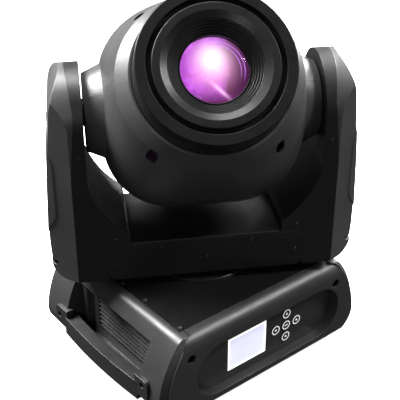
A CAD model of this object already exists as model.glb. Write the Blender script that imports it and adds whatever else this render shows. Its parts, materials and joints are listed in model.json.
import json
import math

import bmesh
import bpy
from mathutils import Matrix, Vector


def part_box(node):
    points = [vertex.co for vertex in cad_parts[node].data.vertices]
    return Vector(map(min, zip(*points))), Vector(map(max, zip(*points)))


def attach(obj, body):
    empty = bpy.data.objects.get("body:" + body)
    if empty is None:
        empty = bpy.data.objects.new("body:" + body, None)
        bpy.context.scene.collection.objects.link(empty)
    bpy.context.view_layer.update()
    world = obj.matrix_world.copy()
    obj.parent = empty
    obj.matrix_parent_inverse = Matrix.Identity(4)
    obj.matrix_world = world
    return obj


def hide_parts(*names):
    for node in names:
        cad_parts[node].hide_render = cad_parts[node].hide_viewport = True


# Moving head stage light: looks, small printed and glowing pieces, studio and camera.
# Lengths are in metres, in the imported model's own frame.

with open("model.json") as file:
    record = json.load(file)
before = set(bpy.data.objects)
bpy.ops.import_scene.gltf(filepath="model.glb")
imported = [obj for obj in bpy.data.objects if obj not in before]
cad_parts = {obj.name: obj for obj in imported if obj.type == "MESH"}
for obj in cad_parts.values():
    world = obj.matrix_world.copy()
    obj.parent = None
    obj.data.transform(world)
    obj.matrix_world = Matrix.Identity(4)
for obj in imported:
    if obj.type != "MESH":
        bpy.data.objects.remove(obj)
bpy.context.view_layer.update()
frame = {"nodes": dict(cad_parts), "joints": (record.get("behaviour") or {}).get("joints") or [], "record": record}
nodes = frame["nodes"]

MM = 0.001

# ---------------------------------------------------------------- places from the frame

joints = {joint["name"]: joint for joint in frame["joints"]}
tilt_axis = Vector(joints["tilt"]["axis"]).normalized()
tilt_centre = Vector(joints["tilt"]["pos_m"])
beam = Vector(joints["focus_slide"]["axis"]).normalized()
head_up = tilt_axis.cross(-beam).normalized()
# Head frame: X along the tilt axis, -Y along the beam, Z out of the head's top
head_frame = Matrix((tilt_axis, -beam, head_up)).transposed().to_4x4()
head_frame.translation = tilt_centre
# Turns a plane's own +Z towards -Y, which is the front of the base and of the head
FACING_FRONT = Matrix.Rotation(math.radians(90), 4, "X")


# ---------------------------------------------------------------- material helpers


class Shader:
    """One node material, with a short way to add and link its nodes."""

    def __init__(self, name, **uniform):
        self.material = bpy.data.materials.new(name)
        self.material.use_nodes = True
        self.tree = self.material.node_tree
        self.surface = self.tree.nodes["Principled BSDF"]
        self.place = self.add("ShaderNodeTexCoord").outputs["Object"]
        self.coat(**uniform)

    def add(self, kind, inputs=None, **settings):
        """Adds a node, sets its properties, and sets or links its inputs."""
        node = self.tree.nodes.new(kind)
        for key, value in settings.items():
            setattr(node, key, value)
        for socket, value in (inputs or {}).items():
            self.feed(node.inputs[socket], value)
        return node

    def feed(self, socket, value):
        """Links an output to the socket, or sets the socket to a plain value."""
        if isinstance(value, bpy.types.NodeSocket):
            self.tree.links.new(value, socket)
        else:
            socket.default_value = value

    def coat(self, **values):
        """Sets or links the surface's inputs, with _ for each space in an input's name."""
        for name, value in values.items():
            self.feed(self.surface.inputs[name.replace("_", " ")], value)

    def noise(self, size, detail=3.0, roughness=0.55, place=None):
        """Grey noise between 0 and 1 whose features are about size metres across."""
        inputs = {
            "Vector": place or self.place,
            "Scale": 1 / size,
            "Detail": detail,
            "Roughness": roughness,
        }
        return self.add("ShaderNodeTexNoise", inputs).outputs["Fac"]

    def spread(self, value, low=0.0, high=1.0, from_low=0.3, from_high=0.7):
        """Maps a grey value from from_low..from_high to low..high, clamped."""
        inputs = {
            "Value": value,
            "From Min": from_low,
            "From Max": from_high,
            "To Min": low,
            "To Max": high,
        }
        return self.add("ShaderNodeMapRange", inputs).outputs["Result"]

    def maths(self, operation, first, second):
        """Result of one maths operation on two values."""
        return self.add("ShaderNodeMath", {0: first, 1: second}, operation=operation).outputs[0]

    def vector_maths(self, operation, output, *values):
        """Named output of one maths operation on vectors."""
        inputs = dict(enumerate(values))
        return self.add("ShaderNodeVectorMath", inputs, operation=operation).outputs[output]

    def blend(self, amount, first, second):
        """Colour between first and second."""
        inputs = {"Factor": amount, "A": first, "B": second}
        return self.add("ShaderNodeMix", inputs, data_type="RGBA").outputs["Result"]

    def rounded_normal(self, radius):
        """Normal that softens every edge, and a mask that is high along the edges."""
        soft = self.add("ShaderNodeBevel", {"Radius": radius}, samples=6).outputs["Normal"]
        true = self.add("ShaderNodeNewGeometry").outputs["True Normal"]
        likeness = self.vector_maths("DOT_PRODUCT", "Value", soft, true)
        return soft, self.spread(likeness, 1.0, 0.0, from_low=0.80, from_high=0.995)

    def bump(self, height, depth, normal):
        """Normal that follows a height pattern of the given depth in metres."""
        inputs = {"Height": height, "Distance": depth, "Normal": normal}
        return self.add("ShaderNodeBump", inputs).outputs["Normal"]


def shade(value):
    """Grey of the given brightness, a little bluer than neutral."""
    return (value, value, value * 1.03, 1.0)


# Radii of the softened edges
PLASTIC_EDGE = 0.9 * MM
SHEET_EDGE = 0.7 * MM
METAL_EDGE = 0.4 * MM
RUBBER_EDGE = 1.2 * MM


def textured_plastic(name, dark, light, rough, depth=0.08 * MM, wear=0.05, shine=0.5):
    """Moulded plastic: cloudy tone, spark-eroded grain, uneven gloss and rubbed edges."""
    s = Shader(name, Specular_IOR_Level=shine)
    soft, edges = s.rounded_normal(PLASTIC_EDGE)
    cloud = s.noise(size=0.07, detail=4.0)
    grain = s.noise(size=1.1 * MM, detail=2.0, roughness=0.6)
    handled = s.noise(size=0.018, detail=5.0, roughness=0.65)
    tone = s.blend(s.spread(cloud), shade(dark), shade(light))
    specks = s.spread(grain, high=0.35, from_low=0.55, from_high=0.8)
    speckled = s.blend(specks, tone, shade(light * 1.5))
    rubbed = s.spread(handled, low=0.35, from_low=0.35, from_high=0.65)
    uneven = s.maths("ADD", s.spread(handled, -0.05, 0.05), s.spread(grain, -0.03, 0.03))
    s.coat(
        Base_Color=s.blend(s.maths("MULTIPLY", edges, rubbed), speckled, shade(light + wear)),
        Roughness=s.maths("ADD", uneven, rough),
        Normal=s.bump(grain, depth, soft),
    )
    return s.material


BARE_STEEL = 0.35


def painted_sheet(name, tone, rough, shine=0.5):
    """Powder-coated steel: orange-peel surface with bare metal showing at worn edges."""
    s = Shader(name, Specular_IOR_Level=shine)
    soft, edges = s.rounded_normal(SHEET_EDGE)
    peel = s.noise(size=2.2 * MM, detail=2.0, roughness=0.5)
    dust = s.noise(size=0.03, detail=6.0, roughness=0.7)
    flaking = s.noise(size=4 * MM, detail=4.0)
    chips = s.maths("MULTIPLY", edges, s.spread(flaking, from_low=0.58, from_high=0.66))
    paint = s.blend(s.spread(dust), shade(tone), shade(tone * 1.6))
    s.coat(
        Base_Color=s.blend(chips, paint, shade(BARE_STEEL)),
        Metallic=s.maths("MULTIPLY", chips, 0.9),
        Roughness=s.spread(dust, rough - 0.06, rough + 0.06),
        Normal=s.bump(peel, 0.06 * MM, soft),
    )
    return s.material


TOOL_MARK_SQUEEZE = (1.0, 1.0, 14.0)


def machined_metal(name, tone, rough):
    """Bare metal with fine tool marks, smears of tarnish and brighter edges."""
    s = Shader(name, Metallic=1.0)
    soft, edges = s.rounded_normal(METAL_EDGE)
    squeezed = s.add("ShaderNodeMapping", {"Vector": s.place, "Scale": TOOL_MARK_SQUEEZE})
    marks = s.noise(size=4 * MM, detail=5.0, roughness=0.7, place=squeezed.outputs["Vector"])
    tarnish = s.noise(size=0.02, detail=4.0, roughness=0.6)
    base = s.blend(s.spread(tarnish), shade(tone * 0.75), shade(tone))
    s.coat(
        Base_Color=s.blend(edges, base, shade(tone * 1.3)),
        Roughness=s.spread(marks, rough - 0.08, rough + 0.12),
        Normal=s.bump(marks, 0.03 * MM, soft),
    )
    return s.material


PEBBLES_PER_METRE = 700.0


def soft_rubber(name, tone):
    """Matt rubber with a dusty bloom and a pebbled surface."""
    s = Shader(name, Roughness=0.85, Specular_IOR_Level=0.3)
    soft, edges = s.rounded_normal(RUBBER_EDGE)
    pebbles = s.add("ShaderNodeTexVoronoi", {"Vector": s.place, "Scale": PEBBLES_PER_METRE})
    bloom = s.noise(size=0.012, detail=5.0, roughness=0.7)
    base = s.blend(s.spread(bloom), shade(tone), shade(tone * 2.2))
    s.coat(
        Base_Color=s.blend(edges, base, shade(tone * 3.0)),
        Normal=s.bump(pebbles.outputs["Distance"], 0.1 * MM, soft),
    )
    return s.material


def lit_plastic(name, colour, strength, rough=0.35):
    """Plastic that shines in its own colour, a little cloudy."""
    s = Shader(name, Roughness=rough, Emission_Strength=strength)
    cloud = s.noise(size=0.02, roughness=0.5)
    dim = tuple(part * 0.9 for part in colour) + (1.0,)
    glow = s.blend(s.spread(cloud), dim, colour + (1.0,))
    s.coat(Base_Color=glow, Emission_Color=glow)
    return s.material


LENS_INDEX = 1.18


def coated_glass(name, tint):
    """Coated glass: a low index for its weak reflections, and a faint uneven haze."""
    s = Shader(name, IOR=LENS_INDEX, Transmission_Weight=1.0)
    haze = s.noise(size=0.01, detail=4.0, roughness=0.6)
    s.coat(
        Base_Color=s.blend(s.spread(haze), shade(0.9), tint),
        Roughness=s.spread(haze, 0.03, 0.06),
    )
    return s.material


TRACKS_PER_METRE = 120.0
SOLDER_GREEN = (0.01, 0.06, 0.02, 1.0)
TRACK_GREEN = (0.03, 0.16, 0.06, 1.0)


def circuit_lacquer(name):
    """Green solder mask with paler tracks under it."""
    s = Shader(name)
    tracks = s.add("ShaderNodeTexBrick", {"Vector": s.place, "Scale": TRACKS_PER_METRE})
    s.coat(
        Base_Color=s.blend(tracks.outputs["Fac"], SOLDER_GREEN, TRACK_GREEN),
        Roughness=s.spread(s.noise(size=0.01), 0.3, 0.5),
    )
    return s.material


# ---------------------------------------------------------------- materials by slot

# Plastics take a dark tone, a light tone and a roughness, metals and paint a tone and
# a roughness, rubber a tone, and lit plastics a colour and a strength.
looks = {
    "case_plastic": textured_plastic("case_graphite", 0.026, 0.034, 0.40),
    "base_metal": painted_sheet("base_black_coat", 0.006, 0.34, shine=0.2),
    "foot_rubber": soft_rubber("foot_black_rubber", 0.012),
    "screw_steel": machined_metal("screw_black_oxide", 0.10, 0.38),
    "grille_plastic": textured_plastic("grille_black", 0.003, 0.005, 0.5, wear=0.01, shine=0.1),
    "handle_plastic": textured_plastic("handle_graphite", 0.012, 0.018, 0.38),
    "panel_plastic": textured_plastic("panel_satin", 0.022, 0.028, 0.36, depth=0.03 * MM),
    "display_border": lit_plastic("display_white_border", (1.0, 1.0, 1.0), 1.1),
    "display_glow": lit_plastic("display_lavender", (0.76, 0.77, 0.93), 0.72, rough=0.4),
    "button_plastic": textured_plastic("button_satin", 0.02, 0.026, 0.34, depth=0.03 * MM),
    "circuit_board": circuit_lacquer("circuit_green"),
    "connector_plastic": textured_plastic("connector_black", 0.010, 0.015, 0.38),
    "connector_metal": machined_metal("connector_nickel", 0.40, 0.30),
    "machined_aluminium": machined_metal("aluminium_turned", 0.62, 0.30),
    "frame_steel": painted_sheet("frame_black_coat", 0.020, 0.45),
    "bearing_steel": machined_metal("bearing_ground", 0.55, 0.22),
    "motor_steel": painted_sheet("motor_black", 0.018, 0.35),
    "belt_rubber": soft_rubber("belt_black_rubber", 0.012),
    "yoke_black": textured_plastic("yoke_matt_black", 0.008, 0.012, 0.42, wear=0.03, shine=0.35),
    "yoke_grey": textured_plastic("yoke_graphite", 0.044, 0.056, 0.38, wear=0.06),
    "bezel_plastic": textured_plastic(
        "bezel_black", 0.005, 0.007, 0.36, depth=0.04 * MM, wear=0.01, shine=0.15
    ),
    "ring_plastic": textured_plastic(
        "ring_black", 0.006, 0.009, 0.34, depth=0.04 * MM, wear=0.01, shine=0.2
    ),
    "baffle_plastic": textured_plastic("baffle_black", 0.004, 0.006, 0.35, wear=0.02, shine=0.3),
    "lens_glass": coated_glass("lens_coated", tint=(0.86, 0.72, 1.0, 1.0)),
    "head_plastic": textured_plastic("head_graphite", 0.034, 0.044, 0.38),
    "fan_plastic": textured_plastic("fan_black", 0.015, 0.02, 0.4),
    "wheel_aluminium": machined_metal("wheel_anodised", 0.45, 0.35),
}
slot_of = {entry["node"]: entry["material_slot"] for entry in frame["record"]["subparts"]}
for name, node in nodes.items():
    node.data.materials.clear()
    node.data.materials.append(looks[slot_of[name]])


# ---------------------------------------------------------------- small pieces


def placed(name, data):
    """Object made from data and linked into the scene."""
    item = bpy.data.objects.new(name, data)
    bpy.context.scene.collection.objects.link(item)
    return item


def solid(name, mesh):
    """Object made from a bmesh, which is used up."""
    data = bpy.data.meshes.new(name)
    mesh.to_mesh(data)
    mesh.free()
    return placed(name, data)


def finished(name, mesh, body, material):
    """Turns a bmesh into a piece that rides on a body and takes its finish from a slot."""
    bmesh.ops.recalc_face_normals(mesh, faces=mesh.faces)
    piece = solid(name, mesh)
    piece.data.materials.append(material)
    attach(piece, body)
    return piece


def vertex_ring(mesh, place, radius, height, steps):
    """Adds a circle of vertices at a height over a plane."""
    turns = [2 * math.pi * i / steps for i in range(steps)]
    points = [Vector((radius * math.cos(a), radius * math.sin(a), height)) for a in turns]
    return [mesh.verts.new(place @ point) for point in points]


def ring_plate(mesh, place, outer, inner, thickness, steps=48):
    """Adds a closed flat ring, or a disc when inner is 0, standing on a plane towards +Z."""
    low = vertex_ring(mesh, place, outer, 0.0, steps)
    high = vertex_ring(mesh, place, outer, thickness, steps)
    walls = [(low, high)]
    if inner > 0:
        high_inner = vertex_ring(mesh, place, inner, thickness, steps)
        low_inner = vertex_ring(mesh, place, inner, 0.0, steps)
        walls += [(high, high_inner), (high_inner, low_inner), (low_inner, low)]
    else:
        mesh.faces.new(low)
        mesh.faces.new(high)
    for near, far in walls:
        for i in range(steps):
            j = (i + 1) % steps
            mesh.faces.new((near[i], near[j], far[j], far[i]))


def bar_plate(mesh, place, length, width, thickness):
    """Adds a closed flat bar standing on a plane towards +Z."""
    size = Matrix.Diagonal((length, width, thickness, 1.0))
    lift = Matrix.Translation((0, 0, thickness / 2))
    bmesh.ops.create_cube(mesh, size=1.0, matrix=place @ lift @ size)


# Printed ring and dot on each button, a bar on the middle one
MARK_OUTER = 6.45 * MM
MARK_INNER = 5.2 * MM
MARK_DOT = 1.5 * MM
MARK_BAR_LENGTH = 5.5 * MM
MARK_BAR_WIDTH = 1.3 * MM
MARK_RAISE = 0.12 * MM
mark_white = lit_plastic("button_mark_white", (0.95, 0.95, 0.97), 0.5)
for direction in ("up", "down", "left", "right", "enter"):
    button = "button_" + direction
    low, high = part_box(button)
    centre = Vector(((low[0] + high[0]) / 2, low[1], (low[2] + high[2]) / 2))
    face = Matrix.Translation(centre) @ FACING_FRONT
    marks = bmesh.new()
    ring_plate(marks, face, MARK_OUTER, MARK_INNER, MARK_RAISE)
    if direction == "enter":
        bar_plate(marks, face, MARK_BAR_LENGTH, MARK_BAR_WIDTH, MARK_RAISE)
    else:
        ring_plate(marks, face, MARK_DOT, 0, MARK_RAISE, steps=20)
    finished("mark_" + direction, marks, button, mark_white)

# ---------------------------------------------------------------- smooth front lens


def arc_heights(radius, rise, steps):
    """Radius and height along a shallow dome, from its crown to its edge."""
    sphere = (radius**2 + rise**2) / (2 * rise)
    radii = [radius * i / steps for i in range(1, steps + 1)]
    return [(r, math.sqrt(sphere**2 - r**2) - (sphere - rise)) for r in radii]


def domed_lens(mesh, place, radius, edge, front_rise, rear_rise, steps=16, turns=96):
    """Adds a closed lens standing on a plane, its front dome towards +Z."""
    front = [(r, edge + h) for r, h in arc_heights(radius, front_rise, steps)]
    rear = [(r, -h) for r, h in arc_heights(radius, rear_rise, steps)]
    crown = mesh.verts.new(place @ Vector((0, 0, edge + front_rise)))
    base = mesh.verts.new(place @ Vector((0, 0, -rear_rise)))
    rows = [vertex_ring(mesh, place, r, h, turns) for r, h in front + rear[::-1]]
    for i in range(turns):
        j = (i + 1) % turns
        mesh.faces.new((crown, rows[0][i], rows[0][j]))
        mesh.faces.new((base, rows[-1][j], rows[-1][i]))
        for near, far in zip(rows, rows[1:]):
            mesh.faces.new((near[i], far[i], far[j], near[j]))
    for face in mesh.faces:
        face.smooth = True


def across_beam(depth):
    """Plane across the beam at depth along the head's Y, its Z pointing out of the lens."""
    return head_frame @ Matrix.Translation((0, depth, 0)) @ FACING_FRONT


LENS_RADIUS = 37.7 * MM
LENS_SEAT = -134.1 * MM
LENS_EDGE = 4.8 * MM
LENS_FRONT_RISE = 6.9 * MM
LENS_REAR_RISE = 0.8 * MM
lens_seat = across_beam(LENS_SEAT)
lens_mesh = bmesh.new()
domed_lens(lens_mesh, lens_seat, LENS_RADIUS, LENS_EDGE, LENS_FRONT_RISE, LENS_REAR_RISE)
front_lens = finished("front_lens_smooth", lens_mesh, "head", looks["lens_glass"])
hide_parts("front_lens")

# ---------------------------------------------------------------- glow in the lens

GLOW_STRENGTH = 1.7
DEEP_VIOLET = (0.22, 0.015, 0.30, 1.0)
BRIGHT_VIOLET = (0.50, 0.10, 0.62, 1.0)
SIDE_SHADOW = (0.035, 0.002, 0.030, 1.0)
LOWER_SHADOW = (0.06, 0.003, 0.05, 1.0)
HALO_PINK = (0.90, 0.38, 0.60, 1.0)
HOT_WHITE = (1.0, 0.92, 0.94, 1.0)
STREAK_PINK = (0.95, 0.55, 0.80, 1.0)
ARC_VIOLET = (0.55, 0.20, 0.75, 1.0)

# Soft spots on the glowing disc: across and up from its centre, then width and height
HALO = (-0.002, 0.006, 0.019, 0.021)
HOT_SPOT = (-0.001, 0.013, 0.013, 0.014)
STREAK_REACH = (0.004, -0.020, 0.012, 0.012)

# Where the shadows and the arcs fade in, measured from the centre
SIDE_FADE = (0.004, 0.018)
LOWER_FADE = (-0.034, -0.016)
ARC_FADE = (0.016, 0.034)

STREAK_SLOPE = 0.92
STREAK_MIDDLE = -0.0147
STREAK_WIDTH = 0.0028
STREAK_STRENGTH = 0.8
ARC_RADII = (0.0285, 0.0325)
ARC_WIDTH = 0.0006
ARC_STRENGTH = 0.7


def lens_glow_material(centre):
    """Violet beam seen in the lens: white hot spot, pink halo, streak and dark right side."""
    s = Shader(
        "lens_glow", Roughness=0.8, Specular_IOR_Level=0.0, Emission_Strength=GLOW_STRENGTH
    )
    from_centre = s.vector_maths("SUBTRACT", "Vector", s.place, centre)
    across = s.vector_maths("DOT_PRODUCT", "Value", from_centre, tilt_axis)
    up = s.vector_maths("DOT_PRODUCT", "Value", from_centre, head_up)
    radius = s.vector_maths("LENGTH", "Value", from_centre)

    def squared_offset(value, middle, width):
        """Square of how many widths the value is from the middle."""
        offset = s.maths("DIVIDE", s.maths("SUBTRACT", value, middle), width)
        return s.maths("MULTIPLY", offset, offset)

    def fade(squared):
        """1 where the squared offset is 0, falling off softly as it grows."""
        return s.maths("POWER", math.e, s.maths("MULTIPLY", squared, -1.0))

    def spot(x, z, width, height):
        """Soft spot that is 1 at its middle, x across and z up from the centre."""
        sideways = squared_offset(across, x, width)
        upwards = squared_offset(up, z, height)
        return fade(s.maths("ADD", sideways, upwards))

    def band(value, middle, width):
        """1 where the value is at the middle, falling off softly on both sides."""
        return fade(squared_offset(value, middle, width))

    swirl = s.noise(size=0.016, detail=4.0, roughness=0.6)
    ragged = s.maths("ADD", across, s.spread(swirl, -0.008, 0.008))
    glow = s.blend(s.spread(swirl), DEEP_VIOLET, BRIGHT_VIOLET)
    glow = s.blend(s.spread(ragged, 0.0, 1.0, *SIDE_FADE), glow, SIDE_SHADOW)
    glow = s.blend(s.spread(up, 1.0, 0.0, *LOWER_FADE), glow, LOWER_SHADOW)
    glow = s.blend(spot(*HALO), glow, HALO_PINK)
    glow = s.blend(spot(*HOT_SPOT), glow, HOT_WHITE)

    slanted = s.maths("ADD", across, s.maths("MULTIPLY", up, STREAK_SLOPE))
    streak = s.maths("MULTIPLY", band(slanted, STREAK_MIDDLE, STREAK_WIDTH), spot(*STREAK_REACH))
    glow = s.blend(s.maths("MULTIPLY", streak, STREAK_STRENGTH), glow, STREAK_PINK)

    upper_right = s.spread(s.maths("ADD", across, up), 0.0, 1.0, *ARC_FADE)
    for arc_radius in ARC_RADII:
        arc = s.maths("MULTIPLY", band(radius, arc_radius, ARC_WIDTH), upper_right)
        glow = s.blend(s.maths("MULTIPLY", arc, ARC_STRENGTH), glow, ARC_VIOLET)
    s.coat(Base_Color=shade(0.01), Emission_Color=glow)
    return s.material


GLOW_RADIUS = 36.5 * MM
GLOW_THICKNESS = 0.6 * MM
GLOW_BEHIND_LENS = -131.5 * MM
glow_place = across_beam(GLOW_BEHIND_LENS)
glow_mesh = bmesh.new()
ring_plate(glow_mesh, glow_place, GLOW_RADIUS, 0, GLOW_THICKNESS, steps=96)
lens_glow = lens_glow_material(glow_place.translation)
finished("lens_glow", glow_mesh, "head", lens_glow)

# ---------------------------------------------------------------- studio

FLOOR_REACH = 12.0
FLOOR_GLOW = 0.9
WORLD_GLOW = 0.10
WHITE = (1.0, 1.0, 1.0, 1.0)

floor_mesh = bmesh.new()
bmesh.ops.create_grid(floor_mesh, x_segments=1, y_segments=1, size=FLOOR_REACH)
floor = solid("studio_floor", floor_mesh)
floor.location.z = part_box("rubber_feet")[0][2]
pale = Shader("studio_pale_floor", Roughness=0.9, Emission_Strength=FLOOR_GLOW)
pale.coat(Base_Color=(0.86, 0.86, 0.86, 1.0), Emission_Color=WHITE)
floor.data.materials.append(pale.material)
# The camera sees the bright floor, but it does not light the object or show up in it
floor.visible_diffuse = False
floor.visible_glossy = False

world = bpy.data.worlds.new("studio_world")
bpy.context.scene.world = world
world.use_nodes = True
world.node_tree.nodes["Background"].inputs["Color"].default_value = WHITE
world.node_tree.nodes["Background"].inputs["Strength"].default_value = WORLD_GLOW

bpy.context.scene.view_settings.view_transform = "Standard"

LIGHT_AIM = Vector((0.0, 0.0, 0.22))


def softbox(name, azimuth, elevation, distance, size, watts):
    """Square area light aimed at the object. Azimuth 0 is in front, 90 on the +X side."""
    data = bpy.data.lights.new(name, "AREA")
    data.shape = "SQUARE"
    data.size = size
    data.energy = watts
    light = placed(name, data)
    a, e = math.radians(azimuth), math.radians(elevation)
    away = Vector((math.sin(a) * math.cos(e), -math.cos(a) * math.cos(e), math.sin(e)))
    light.location = LIGHT_AIM + away * distance
    light.rotation_mode = "QUATERNION"
    light.rotation_quaternion = (-away).to_track_quat("-Z", "Y")


softbox("rim_left", azimuth=-148, elevation=46, distance=1.7, size=0.9, watts=150)
softbox("top_light", azimuth=150, elevation=76, distance=1.8, size=0.8, watts=45)
softbox("rim_right", azimuth=98, elevation=28, distance=1.9, size=0.9, watts=120)
softbox("front_top", azimuth=48, elevation=44, distance=2.0, size=0.5, watts=34)
softbox("front_fill", azimuth=-48, elevation=20, distance=2.4, size=0.6, watts=9)

# ---------------------------------------------------------------- camera

CAMERA_TARGET = Vector((0.0004, -0.0003, 0.1902))
CAMERA_FORWARD = Vector((0.538, 0.667, -0.515)).normalized()
CAMERA_DISTANCE = 1.1885
SENSOR_WIDTH_MM = 36.0
FOCAL_LENGTH_MM = 85.15
NEAR_CLIP = 0.05
camera_data = bpy.data.cameras.new("camera")
camera_data.sensor_width = SENSOR_WIDTH_MM
camera_data.lens = FOCAL_LENGTH_MM
camera_data.clip_start = NEAR_CLIP
camera = placed("camera", camera_data)
camera.location = CAMERA_TARGET - CAMERA_FORWARD * CAMERA_DISTANCE
camera.rotation_mode = "QUATERNION"
camera.rotation_quaternion = CAMERA_FORWARD.to_track_quat("-Z", "Y")
bpy.context.scene.camera = camera
